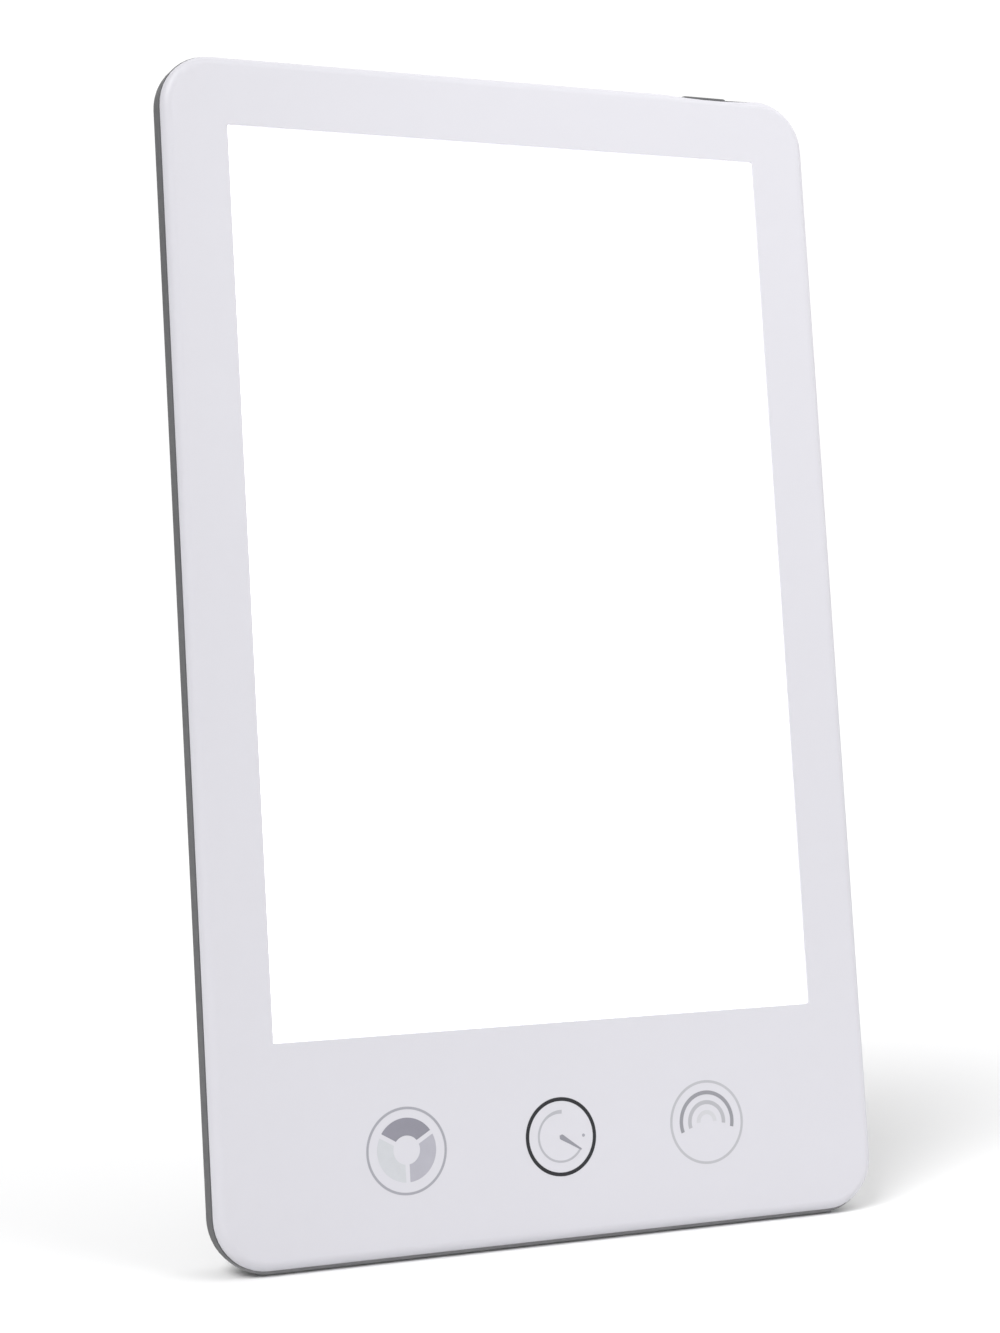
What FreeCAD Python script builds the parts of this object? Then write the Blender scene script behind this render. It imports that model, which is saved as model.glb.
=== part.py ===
import FreeCAD, Part
import math
import os

# Slim tablet-like light therapy lamp standing on a fold-out leg.
#
# Every piece is drawn in the lamp's own axes first:
#   X to the right, Y from the seam between the shells into the lamp, Z up along
#   the face, with the cover's outline from Z = 0 up. The front face stands
#   FACE_RISE in front of Y = 0.
# stand() then leans the whole lamp back and sets it on the table (Z = 0),
# with the origin under the middle of its bounding box.

V = FreeCAD.Vector

# ---------------------------------------------------------------- dimensions
WIDTH = 150.5            # width of the front cover
HEIGHT = 245.0           # height of the front cover
DEPTH = 12.7             # seam to rear face
FACE_RISE = 2.0          # front face to seam
CORNER_R = 11.0          # corners of the cover's outline
LEAN_DEG = 7.817         # how far the lamp leans back on its leg
FLOOR_GAP = 1.07         # table to the outline's lower edge
ORIGIN_Y = 40.553        # depth of the origin behind the outline's lower edge

COVER_DEPTH = 0.15       # the front cover's rim reaches this far back
COVER_EDGE_R = 2.0       # rounding of its front edge
COVER_PLATE = 1.5        # thickness of its front plate
PLATE_BACK = COVER_PLATE - FACE_RISE
LIP_IN = 1.75            # the cover's locating lip stands in from its outline
LIP_END = 4.0            # and reaches this far back
SEAM = 0.05              # gap between the two shells
STEP_OUT = 0.18          # rear housing stands out by this much
CHIN = 0.5               # and its lower front edge by this much more
CHIN_GROW = 0.6          # lower corners of this chin are rounder by this much
CHIN_END = 2.6           # it reaches this far back
CHIN_CLEAR = 0.35        # and stays this far above the table
SIDE_DEPTH = 3.9         # its sides are straight to this depth
SIDE_WALL_IN = 1.5       # inner face of the straight sides
REAR_INSET = 4.9         # then they slope inwards to this much at the rear face
KNEE_R = 2.5             # rounding between side and slope
REAR_EDGE_R = 1.8        # rounding between slope and rear face
WALL = 1.6

WINDOW_HALF_W = 61.6     # light window
WINDOW_Z0 = 44.3
WINDOW_Z1 = 230.6
LENS_SET_BACK = 0.5

ICON_X = 34.65           # touch keys under the window: left, middle, right
ICON_Z = 20.85
TOUCH_R = 7.0

BUTTON_X = 53.0          # power button on the top edge
BUTTON_Y = 2.9
BUTTON_LEN = 11.2
BUTTON_W = 2.0
BUTTON_TOP = 245.95
BUTTON_TRAVEL = 0.6
SCOOP_HALF = 13.5        # shallow finger scoop around it, in both shells
SCOOP_COVER = 1.0
SCOOP_HOUSING = 0.33

HINGE_Y = 9.7            # leg's hinge axis
HINGE_Z = 31.0
BARREL_R = 2.9
BARREL_HALF = 18.0
PIN_R = 1.25
PIN_CLEARANCE = 0.04
LEG_OPEN_DEG = 105.2     # from folded against the back to open
LEG_LEN = 75.4
LEG_T = 2.3
LEG_ROOT_HALF = 21.4
LEG_TIP_HALF = 18.0
LEG_TIP_R = 7.0

JACK_X = 58.0            # low-voltage inlet, facing down into a channel
JACK_Y = 7.7
JACK_HOLE_R = 3.1
JACK_BORE_R = 2.85
JACK_PIN_R = 1.05
JACK_ROOT_R = 1.5        # the centre pin's root, moulded into the jack
CHANNEL_TOP = 20.0

KEYHOLE_X = 32.0         # hanging holes for a wall
KEYHOLE_Z = 199.0
KEYHOLE_R = 4.0
KEYHOLE_SLOT_R = 2.1
KEYHOLE_RISE = 9.5

CASE_SCREW_X = 47.0
CASE_SCREW_Z = 12.5

STRIP_HALF = 66.0        # rubber strip under the housing
STRIP_Y0 = 1.05
STRIP_Y1 = 4.0
STRIP_NARROW = 2.6
STRIP_SUNK = 0.75

REAR_IN = DEPTH - WALL   # inner face of the rear wall


# ------------------------------------------------------------------- helpers
def box(x0, x1, y0, y1, z0, z1):
    return Part.makeBox(x1 - x0, y1 - y0, z1 - z0, V(x0, y0, z0))


def cyl_x(r, x0, x1, y, z):
    return Part.makeCylinder(r, x1 - x0, V(x0, y, z), V(1, 0, 0))


def cyl_y(r, y0, y1, x, z):
    return Part.makeCylinder(r, y1 - y0, V(x, y0, z), V(0, 1, 0))


def cyl_z(r, z0, z1, x, y):
    return Part.makeCylinder(r, z1 - z0, V(x, y, z0), V(0, 0, 1))


def edges_where(shape, test):
    return [e for e in shape.Edges if test(e.BoundBox)]


def plate(x0, x1, z0, z1, r, y0, y1):
    """A rounded rectangle in the face's plane, from depth y0 to y1."""
    b = box(x0, x1, y0, y1, z0, z1)
    if r <= 0:
        return b
    along_y = edges_where(b, lambda q: q.YLength > 0.5 * (y1 - y0) and q.XLength < 1e-6 and q.ZLength < 1e-6)
    return b.makeFillet(r, along_y)


def outline(inset, y0, y1):
    """The housing's outline set in by inset, from depth y0 to y1."""
    h = WIDTH / 2 - inset
    return plate(-h, h, inset, HEIGHT - inset, max(CORNER_R - inset, 0.5), y0, y1)


def outline_wire(inset, y, drop=0.0, grow=0.0):
    """The outline set in by inset, as a closed wire at depth y; its lower edge
    lies lower by drop and its lower corners are rounder by grow."""
    h = WIDTH / 2 - inset
    z0, z1 = inset - drop, HEIGHT - inset
    r = CORNER_R - inset
    s = r + grow
    k = r * (1 - math.sqrt(0.5))
    m = s * (1 - math.sqrt(0.5))
    e = []
    for a, b in (((-h + s, z0), (h - s, z0)), ((h, z0 + s), (h, z1 - r)),
                 ((h - r, z1), (-h + r, z1)), ((-h, z1 - r), (-h, z0 + s))):
        e.append(Part.LineSegment(V(a[0], y, a[1]), V(b[0], y, b[1])).toShape())
    mids = ((h - m, z0 + m), (h - k, z1 - k), (-h + k, z1 - k), (-h + m, z0 + m))
    out = []
    for i in range(4):
        p = e[i].Vertexes[-1].Point
        q = e[(i + 1) % 4].Vertexes[0].Point
        out.append(e[i])
        out.append(Part.Arc(p, V(mids[i][0], y, mids[i][1]), q).toShape())
    return Part.Wire(out)


def taper(inset0, inset1, y0, y1):
    """A solid between the outline set in by inset0 at y0 and by inset1 at y1."""
    return Part.makeLoft([outline_wire(inset0, y0), outline_wire(inset1, y1)], True, True)


def finger_scoop(depth, y0, y1):
    """The shallow dish around the power button, depth deep in an edge at the height top."""
    r = (SCOOP_HALF ** 2 + depth ** 2) / (2 * depth)
    return cyl_y(r, y0, y1, BUTTON_X, r - depth)


def rim_edges(shape, y):
    return edges_where(shape, lambda q: abs(q.YMin - y) < 1e-4 and abs(q.YMax - y) < 1e-4)


def slab(points, y0, y1):
    """A prism over a polygon of (x, z) points, from depth y0 to y1."""
    w = Part.makePolygon([V(x, y0, z) for x, z in points + points[:1]])
    return Part.Face(w).extrude(V(0, y1 - y0, 0))


def fuse(*shapes):
    out = shapes[0]
    for s in shapes[1:]:
        out = out.fuse(s)
    return out.removeSplitter()


def one(shape):
    """The shape's only solid."""
    solids = shape.Solids
    if len(solids) != 1:
        raise RuntimeError("expected one solid, found %d" % len(solids))
    return solids[0]


def group(solids):
    return Part.makeCompound(solids)


def tube(points, r, bend):
    """A wire of radius r through the points, with its corners bent to the radius bend."""
    pts = [V(*p) for p in points]
    edges = []
    start = pts[0]
    for a, b, c in zip(pts, pts[1:], pts[2:]):
        d0 = (b - a).normalize()
        d1 = (c - b).normalize()
        turn = d0.getAngle(d1)
        back = bend * math.tan(turn / 2)
        p0 = b - d0 * back
        p1 = b + d1 * back
        middle = (d1 - d0).normalize()
        mid = b + middle * (bend / math.cos(turn / 2) - bend)
        edges.append(Part.LineSegment(start, p0).toShape())
        edges.append(Part.Arc(p0, mid, p1).toShape())
        start = p1
    edges.append(Part.LineSegment(start, pts[-1]).toShape())
    path = Part.Wire(edges)
    d = (pts[1] - pts[0]).normalize()
    ring = Part.Wire([Part.makeCircle(r, pts[0], d)])
    return one(path.makePipeShell([ring], True, True))


def stand(shape):
    s = shape.copy()
    s.rotate(V(0, 0, 0), V(1, 0, 0), -LEAN_DEG)
    s.translate(V(0, -ORIGIN_Y, FLOOR_GAP))
    return s


def open_leg(shape):
    s = shape.copy()
    s.rotate(V(0, HINGE_Y, HINGE_Z), V(1, 0, 0), -LEG_OPEN_DEG)
    return s


def above_table(shape):
    return shape.cut(Part.makeBox(400, 400, 60, V(-200, -200, -60)))


parts = {}


def add(name, shape, standing=False):
    parts[name] = shape if standing else stand(shape)


# --------------------------------------------------------------- front cover
shell = outline(0, -FACE_RISE, COVER_DEPTH)
shell = shell.makeFillet(COVER_EDGE_R, rim_edges(shell, -FACE_RISE))
hollow = outline(LIP_IN + 1.0, PLATE_BACK, LIP_END + 1)
dish = finger_scoop(SCOOP_COVER, -5, COVER_DEPTH + 1)
dish.translate(V(0, 0, HEIGHT))
shell = shell.cut(hollow).cut(dish)
lip = outline(LIP_IN, COVER_DEPTH - 0.1, LIP_END).cut(hollow)
lip = lip.cut(box(BUTTON_X - 9, BUTTON_X + 9, COVER_DEPTH, 7, 238, 246))
lip = lip.cut(box(JACK_X - 9, JACK_X + 9, COVER_DEPTH, 7, -1, 6))
snap_places = []
for side in (-1, 1):
    for z in (52.0, 98.0, 144.0, 190.0):
        snap_places.append((side, z))
catches = []
pockets = []
for side, z in snap_places:
    edge = side * (WIDTH / 2)
    a, b = sorted((edge - side * 1.25, edge - side * 1.9))
    catches.append(box(a, b, 2.9, 3.6, z - 4, z + 4))
    a, b = sorted((edge - side * 1.05, edge - side * 1.9))
    pockets.append(box(a, b, 2.75, 3.8, z - 4.4, z + 4.4))
cover = fuse(shell, lip, *catches)
cover = cover.cut(box(-WINDOW_HALF_W, WINDOW_HALF_W, -5, 6, WINDOW_Z0, WINDOW_Z1))
cover = cover.makeFillet(0.15, edges_where(cover, lambda q: abs(q.YMin + FACE_RISE) < 1e-4 and abs(q.YMax + FACE_RISE) < 1e-4
                                           and q.XMin > -63 and q.XMax < 63 and q.ZMin > 40 and q.ZMax < 235))
for side in (-1, 1):
    post = cyl_y(2.6, PLATE_BACK - 0.2, 8.8, side * CASE_SCREW_X, CASE_SCREW_Z)
    cover = cover.fuse(post)
    cover = cover.cut(cyl_y(0.85, 3.4, 9.0, side * CASE_SCREW_X, CASE_SCREW_Z))
add("front_cover", one(cover.removeSplitter()))

# ------------------------------------------------------------- light window
lens = fuse(
    box(-WINDOW_HALF_W + 0.1, WINDOW_HALF_W - 0.1, LENS_SET_BACK - FACE_RISE, PLATE_BACK + 0.2, WINDOW_Z0 + 0.1, WINDOW_Z1 - 0.1),
    box(-65.0, 65.0, PLATE_BACK, 0.3, 41.2, 234.0),
)
add("window_lens", one(lens))

# -------------------------------------------------------------- light engine
GUIDE_HALF = 64.4
GUIDE_Z0, GUIDE_Z1 = 42.3, 233.7
add("diffuser_sheet", box(-GUIDE_HALF, GUIDE_HALF, 2.3, 2.6, GUIDE_Z0, GUIDE_Z1))
add("prism_sheet", box(-GUIDE_HALF, GUIDE_HALF, 2.6, 2.85, GUIDE_Z0, GUIDE_Z1))
add("light_guide_plate", box(-GUIDE_HALF, GUIDE_HALF, 2.85, 5.85, GUIDE_Z0, GUIDE_Z1))
add("reflector_sheet", box(-GUIDE_HALF, GUIDE_HALF, 5.85, 6.1, GUIDE_Z0, GUIDE_Z1))

tray = box(-67.5, 67.5, 6.1, 7.1, 42.0, 234.0)
for side in (-1, 1):
    a, b = sorted((side * 66.5, side * 67.5))
    tray = tray.fuse(box(a, b, 2.9, 6.5, 42.0, 234.0))
add("heat_spreader_tray", one(tray.removeSplitter()))

boards = []
leds = []
for side in (-1, 1):
    a, b = sorted((side * 65.5, side * 66.5))
    boards.append(box(a, b, 3.0, 6.0, 42.4, 233.6))
    a, b = sorted((side * 64.7, side * 65.5))
    for i in range(34):
        z = 47.15 + 5.5 * i
        leds.append(box(a, b, 3.7, 5.1, z - 1.5, z + 1.5))
add("led_boards", group(boards))
add("led_packages", group(leds))

frame = plate(-71.5, 71.5, 38.5, 237.5, 5.0, PLATE_BACK + 0.05, 7.1)
frame = frame.cut(box(-65.1, 65.1, -2.0, 0.35, 41.1, 234.1))
frame = frame.cut(box(-63.4, 63.4, 0.0, 3.0, 43.1, 232.4))
frame = frame.cut(box(-68.0, 68.0, 2.25, 8.0, 41.6, 234.9))
add("light_panel_frame", one(frame))

tails = []
for side in (-1, 1):
    tails.append(box(side * 60 - 3, side * 60 + 3, 7.1, 8.9, 45.0, 49.0))
add("led_tail_connectors", group(tails))

# ------------------------------------------------------------- touch control
TOUCH_Y = PLATE_BACK + 0.1
add("touch_electrodes", group([cyl_y(TOUCH_R, PLATE_BACK, TOUCH_Y, x, ICON_Z) for x in (-ICON_X, 0, ICON_X)]))
add("touch_board", plate(-43.5, 43.5, 6.5, 36.6, 1.5, TOUCH_Y, TOUCH_Y + 1.0))
add("touch_controller_chips", group([
    box(-19.5, -14.5, TOUCH_Y + 1.0, TOUCH_Y + 1.9, 9.0, 14.0),
    box(15.0, 19.0, TOUCH_Y + 1.0, TOUCH_Y + 1.8, 9.5, 13.5),
    box(-2.0, 2.0, TOUCH_Y + 1.0, TOUCH_Y + 1.8, 9.5, 12.5),
]))

# -------------------------------------------------------------- driver board
driver = plate(-70.0, -31.0, 17.0, 36.0, 1.0, 6.2, 7.4)
driver_screws = [(-64.5, 32.8), (-64.5, 20.2), (-33.6, 26.5)]
for x, z in driver_screws:
    driver = driver.cut(cyl_y(1.15, 6.0, 8.0, x, z))
add("driver_board", one(driver))
coil = plate(-48.5, -41.5, 23.0, 30.0, 1.2, 7.4, 10.4)
add("driver_inductor", one(coil))
caps = []
for z in (21.6, 28.4):
    c = cyl_y(2.6, 7.4, 10.6, -54.2, z)
    c = c.makeFillet(0.3, rim_edges(c, 10.6))
    caps.append(one(c))
add("driver_capacitors", group(caps))
add("driver_chips", group([
    box(-49.5, -44.5, 7.4, 8.6, 31.6, 35.4),
    box(-61.0, -58.2, 7.4, 8.4, 24.0, 29.0),
    box(-49.5, -45.5, 7.4, 8.4, 18.0, 21.0),
]))
add("driver_connectors", group([
    box(-41.0, -36.6, 7.4, 10.4, 30.6, 35.6),
    box(-41.0, -36.6, 7.4, 10.4, 17.8, 22.8),
]))
dscrews = []
for x, z in driver_screws:
    head = cyl_y(1.9, 5.0, 6.2, x, z)
    head = head.makeFillet(0.35, rim_edges(head, 5.0))
    dscrews.append(one(fuse(head, cyl_y(0.95, 6.0, 10.0, x, z))))
add("board_screws", group(dscrews))

# ------------------------------------------------------------------ DC inlet
add("dc_jack_board", plate(JACK_X - 7.0, JACK_X + 7.0, 21.8, 37.4, 1.0, 3.0, 4.2))
jack = plate(JACK_X - 4.6, JACK_X + 4.6, 21.6, 35.6, 0.0, 4.2, 11.05)
jack = jack.cut(cyl_z(JACK_BORE_R, 20.0, 31.1, JACK_X, JACK_Y))
jack = jack.cut(cyl_z(JACK_ROOT_R, 31.0, 33.6, JACK_X, JACK_Y))
add("dc_jack_housing", one(jack))
jpin = cyl_z(JACK_PIN_R, 22.4, 31.6, JACK_X, JACK_Y)
tip = edges_where(jpin, lambda q: abs(q.ZMin - 22.4) < 1e-5 and abs(q.ZMax - 22.4) < 1e-5)
jpin = jpin.makeFillet(0.4, tip).fuse(cyl_z(JACK_ROOT_R, 31.1, 33.6, JACK_X, JACK_Y))
add("dc_jack_centre_pin", one(jpin))

# -------------------------------------------------------------------- wiring
wires = []
for i, dx in enumerate((0.0, 1.6)):
    zrow = 23.4 - 1.7 * i
    zstart = 33.0 - 2.4 * i
    wires.append(tube([
        (JACK_X - 6.2 + dx, 4.8, zstart),
        (47.6 - dx, 4.8, zstart),
        (47.6 - dx, 9.0, zstart),
        (47.6 - dx, 9.0, zrow),
        (-36.6, 9.0, zrow),
    ], 0.6, 1.6))
add("dc_wires", group(wires))

lw = []
lw.append(tube([(-38.8, 8.1, 35.6), (-38.8, 8.1, 53.0), (-60.0, 8.1, 53.0), (-60.0, 8.1, 49.0)], 0.5, 1.6))
lw.append(tube([(-37.4, 7.92, 35.6), (-37.4, 7.92, 56.0), (60.0, 7.92, 56.0), (60.0, 7.92, 49.0)], 0.5, 1.6))
add("led_wires", group(lw))

ribbon = fuse(
    box(41.0, 43.0, 7.15, 7.35, 37.2, 238.8),
    box(41.0, 43.0, TOUCH_Y + 1.0, 7.35, 37.2, 37.4),
    box(41.0, 43.0, TOUCH_Y + 1.0, TOUCH_Y + 1.2, 33.0, 37.4),
    box(41.0, 43.0, 6.9, 7.35, 238.6, 238.8),
)
add("switch_ribbon", one(ribbon))

# -------------------------------------------------------------- power switch
add("switch_board", box(40.5, 60.0, 1.65, 6.9, 237.8, 238.6))
sbody = box(BUTTON_X - 3.0, BUTTON_X + 3.0, 1.65, 5.0, 238.6, 241.2)
sbody = sbody.cut(cyl_z(1.0, 239.3, 242.0, BUTTON_X, BUTTON_Y))
add("power_switch_body", one(sbody))
add("power_switch_plunger", cyl_z(0.8, 240.1, 242.4, BUTTON_X, BUTTON_Y))

hw = BUTTON_W / 2
cap = fuse(
    box(BUTTON_X - BUTTON_LEN / 2 + hw, BUTTON_X + BUTTON_LEN / 2 - hw, BUTTON_Y - hw, BUTTON_Y + hw, 242.4, BUTTON_TOP),
    cyl_z(hw, 242.4, BUTTON_TOP, BUTTON_X - BUTTON_LEN / 2 + hw, BUTTON_Y),
    cyl_z(hw, 242.4, BUTTON_TOP, BUTTON_X + BUTTON_LEN / 2 - hw, BUTTON_Y),
)
cap = cap.makeFillet(0.45, edges_where(cap, lambda q: abs(q.ZMin - BUTTON_TOP) < 1e-4))
button = fuse(cap, box(BUTTON_X - 7.2, BUTTON_X + 7.2, 1.65, 4.15, 242.4, 243.1))
add("power_button", one(button))

# -------------------------------------------------------------- rear housing
y_open = COVER_DEPTH + SEAM
outer = fuse(outline(-STEP_OUT, y_open, SIDE_DEPTH), taper(-STEP_OUT, REAR_INSET, SIDE_DEPTH, DEPTH))
outer = outer.makeFillet(KNEE_R, rim_edges(outer, SIDE_DEPTH))
outer = outer.makeFillet(REAR_EDGE_R, rim_edges(outer, DEPTH))
chin = Part.Face(outline_wire(-STEP_OUT, y_open, CHIN, CHIN_GROW)).extrude(V(0, CHIN_END - y_open, 0))
chin = chin.common(box(-90, 90, -1, 9, -2, CORNER_R + 2))
near_table = box(-200, 200, -200, 200, -60, 0)
near_table.rotate(V(0, 0, 0), V(1, 0, 0), LEAN_DEG)
near_table.translate(V(0, 0, (CHIN_CLEAR - FLOOR_GAP) / math.cos(math.radians(LEAN_DEG))))
outer = fuse(outer, chin.cut(near_table))
outer = outer.makeFillet(0.2, rim_edges(outer, y_open))
# the wall keeps its thickness along the slope
run = (REAR_INSET + STEP_OUT) / (DEPTH - SIDE_DEPTH)
wall_in = SIDE_WALL_IN
slope_in = WALL * math.sqrt(1 + run * run) - STEP_OUT
knee_in = SIDE_DEPTH - (slope_in - wall_in) / run
inner = fuse(outline(wall_in, y_open - 1, knee_in),
             taper(wall_in, slope_in + run * (REAR_IN - SIDE_DEPTH), knee_in, REAR_IN))
housing = outer.cut(inner)

LEG_R0 = LEG_ROOT_HALF + 0.5
LEG_R1 = LEG_TIP_HALF + 0.5
recess_end = HINGE_Z + LEG_LEN + 0.8
SCOOP_R = 22.0           # finger dish at the leg's tip
SCOOP_Z = recess_end + 0.5


def leg_outline(root, tip, z0, z1, r, y0, y1):
    s = slab([(-root, z0), (root, z0), (tip, z1), (-tip, z1)], y0, y1)
    corners = edges_where(s, lambda q: q.XLength < 1e-6 and q.ZLength < 1e-6 and abs(q.ZMin - z1) < 1e-4)
    return s.makeFillet(r, corners)


inside = [
    leg_outline(LEG_R0 + 1.2, LEG_R1 + 1.2, 36.0, recess_end + 1.2, 8.0, 8.5, REAR_IN + 0.2),
    box(-29.8, 29.8, 3.9, REAR_IN + 0.2, 25.4, 37.6),
    cyl_y(13.4, 7.6, REAR_IN + 0.2, 0, SCOOP_Z),
    box(JACK_X - 7.7, JACK_X + 7.7, 1.9, REAR_IN + 0.2, 3.0, CHANNEL_TOP + 1.4),
]
low_block = box(JACK_X - 7.7, JACK_X + 7.7, y_open + 0.1, REAR_IN + 0.2, -3.0, 3.2)
for side in (-1, 1):
    inside.append(box(side * KEYHOLE_X - 6.7, side * KEYHOLE_X + 6.7, 7.3, REAR_IN + 0.2, KEYHOLE_Z - 7.0, KEYHOLE_Z + 15.0))
    inside.append(cyl_y(4.2, 8.9, REAR_IN + 0.2, side * CASE_SCREW_X, CASE_SCREW_Z))
for x, z in driver_screws:
    inside.append(cyl_y(2.2, 7.4, REAR_IN + 0.2, x, z))
for side in (-1, 1):
    for z in (29.3, 33.7):
        inside.append(cyl_y(1.9, 3.0, 4.2, side * 24.4, z))
inside = [s.common(outer) for s in [low_block] + inside]
housing = fuse(housing, *inside)

cuts = [
    leg_outline(LEG_R0, LEG_R1, HINGE_Z, recess_end, 7.5, 9.9, DEPTH + 1),
    box(-28.6, 28.6, 5.1, DEPTH + 1, HINGE_Z - 4.15, 36.4),
    Part.makeSphere(SCOOP_R, V(0, 8.8 + SCOOP_R, SCOOP_Z)),
    box(JACK_X - 6.5, JACK_X + 6.5, 3.0, DEPTH + 1, -4.0, CHANNEL_TOP),
    cyl_z(JACK_HOLE_R, CHANNEL_TOP - 1, CHANNEL_TOP + 2, JACK_X, JACK_Y),
]
for side in (-1, 1):
    x = side * KEYHOLE_X
    cuts.append(box(x - 5.5, x + 5.5, 8.1, REAR_IN, KEYHOLE_Z - 5.8, KEYHOLE_Z + 13.8))
    cuts.append(cyl_y(KEYHOLE_R, REAR_IN - 1, DEPTH + 1, x, KEYHOLE_Z))
    cuts.append(cyl_y(KEYHOLE_SLOT_R, REAR_IN - 1, DEPTH + 1, x, KEYHOLE_Z + KEYHOLE_RISE))
    cuts.append(box(x - KEYHOLE_SLOT_R, x + KEYHOLE_SLOT_R, REAR_IN - 1, DEPTH + 1, KEYHOLE_Z, KEYHOLE_Z + KEYHOLE_RISE))
    cuts.append(cyl_y(1.3, 8.0, DEPTH + 1, side * CASE_SCREW_X, CASE_SCREW_Z))
    cuts.append(cyl_y(2.6, 10.6, DEPTH + 1, side * CASE_SCREW_X, CASE_SCREW_Z))
    for z in (29.3, 33.7):
        cuts.append(cyl_y(0.9, 2.0, 6.0, side * 24.4, z))
for x, z in driver_screws:
    cuts.append(cyl_y(0.95, 7.0, 10.4, x, z))


def strip(gap, z0, z1):
    """The rubber strip under the housing, grown by gap; narrower in front of the plug's channel."""
    s = box(-STRIP_HALF - gap, STRIP_HALF + gap, STRIP_Y0 - gap, STRIP_Y1 + gap, z0, z1)
    return s.cut(box(JACK_X - 7.6 + gap, STRIP_HALF + 5, STRIP_NARROW + gap, STRIP_Y1 + 5, z0 - 1, z1 + 1))


cuts.append(strip(0.05, -2.0, STRIP_SUNK))
dish = finger_scoop(SCOOP_HOUSING, -1, 9)
dish.translate(V(0, 0, HEIGHT + STEP_OUT))
cuts.append(dish)
slot_hw = hw + 0.25
sx = BUTTON_LEN / 2 + 0.25 - slot_hw
cuts.append(box(BUTTON_X - sx, BUTTON_X + sx, BUTTON_Y - slot_hw, BUTTON_Y + slot_hw, 241, 247))
cuts.append(cyl_z(slot_hw, 241, 247, BUTTON_X - sx, BUTTON_Y))
cuts.append(cyl_z(slot_hw, 241, 247, BUTTON_X + sx, BUTTON_Y))
# cooling slots above the leg
for i in range(-5, 6):
    x = 5.2 * i
    cuts.append(box(x - 0.9, x + 0.9, REAR_IN - 1, DEPTH + 1, 217.5, 226.5))
    cuts.append(cyl_y(0.9, REAR_IN - 1, DEPTH + 1, x, 217.5))
    cuts.append(cyl_y(0.9, REAR_IN - 1, DEPTH + 1, x, 226.5))
for c in cuts + pockets:
    housing = housing.cut(c)
housing = housing.removeSplitter()
rims = edges_where(housing, lambda q: abs(q.YMin - DEPTH) < 1e-4 and abs(q.YMax - DEPTH) < 1e-4
                   and q.ZMin > 15.5 and q.ZMax < 236 and abs(q.XMin) < 60 and abs(q.XMax) < 60)
housing = housing.makeFillet(0.35, rims)
add("rear_housing", one(housing))

cscrews = []
for side in (-1, 1):
    x = side * CASE_SCREW_X
    head = cyl_y(2.45, 10.6, 12.6, x, CASE_SCREW_Z)
    head = head.makeFillet(0.4, rim_edges(head, 12.6))
    head = head.cut(fuse(
        box(x - 1.35, x + 1.35, 11.5, 13.0, CASE_SCREW_Z - 0.3, CASE_SCREW_Z + 0.3),
        box(x - 0.3, x + 0.3, 11.5, 13.0, CASE_SCREW_Z - 1.35, CASE_SCREW_Z + 1.35),
    ))
    cscrews.append(one(fuse(head, cyl_y(0.85, 3.6, 8.9, x, CASE_SCREW_Z), cyl_y(1.1, 8.85, 10.7, x, CASE_SCREW_Z))))
add("case_screws", group(cscrews))

foam = []
for side in (-1, 1):
    for z in (84.0, 150.0):
        foam.append(box(side * 54 - 6, side * 54 + 6, 7.1, REAR_IN, z, z + 36.0))
add("rear_foam_pads", group(foam))

foot = strip(0.0, -3.0, STRIP_SUNK)
foot = foot.makeFillet(0.7, edges_where(foot, lambda q: q.XLength < 1e-6 and q.YLength < 1e-6 and abs(abs(q.XMin) - STRIP_HALF) < 1e-4))
add("foot_strip", one(above_table(stand(foot))), standing=True)

# --------------------------------------------------------------- leg's hinge
brackets = []
bscrews = []
for side in (-1, 1):
    a, b = sorted((side * 18.8, side * 20.0))
    cheek = fuse(
        box(a, b, 5.1, HINGE_Y, HINGE_Z - BARREL_R, HINGE_Z + BARREL_R),
        cyl_x(BARREL_R, a, b, HINGE_Y, HINGE_Z),
    )
    a, b = sorted((side * 18.8, side * 28.0))
    foot = plate(a, b, 27.1, 35.9, 1.0, 5.1, 6.3)
    br = cheek.fuse(foot).removeSplitter()
    br = br.cut(cyl_x(PIN_R, side * 19.4 - 2, side * 19.4 + 2, HINGE_Y, HINGE_Z))
    for z in (29.3, 33.7):
        br = br.cut(cyl_y(1.1, 4.0, 7.0, side * 24.4, z))
        head = cyl_y(1.8, 6.3, 7.5, side * 24.4, z)
        head = head.makeFillet(0.35, rim_edges(head, 7.5))
        x = side * 24.4
        head = head.cut(fuse(
            box(x - 1.0, x + 1.0, 6.8, 8.0, z - 0.22, z + 0.22),
            box(x - 0.22, x + 0.22, 6.8, 8.0, z - 1.0, z + 1.0),
        ))
        bscrews.append(one(fuse(head, cyl_y(0.9, 3.2, 6.5, x, z))))
    brackets.append(one(br))
add("hinge_brackets", group(brackets))
add("bracket_screws", group(bscrews))

washers = []
for side in (-1, 1):
    a, b = sorted((side * 18.06, side * 18.74))
    washers.append(one(cyl_x(2.6, a, b, HINGE_Y, HINGE_Z).cut(cyl_x(1.3, a - 1, b + 1, HINGE_Y, HINGE_Z))))
add("friction_washers", group(washers))

pin = cyl_x(PIN_R, -20.2, 20.2, HINGE_Y, HINGE_Z)
for side in (-1, 1):
    a, b = sorted((side * 20.0, side * 21.1))
    h = cyl_x(2.1, a, b, HINGE_Y, HINGE_Z)
    far = edges_where(h, lambda q: abs(q.XMin - side * 21.1) < 1e-5 and abs(q.XMax - side * 21.1) < 1e-5)
    pin = pin.fuse(h.makeFillet(0.6, far))
add("hinge_pin", one(pin.removeSplitter()))

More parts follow.
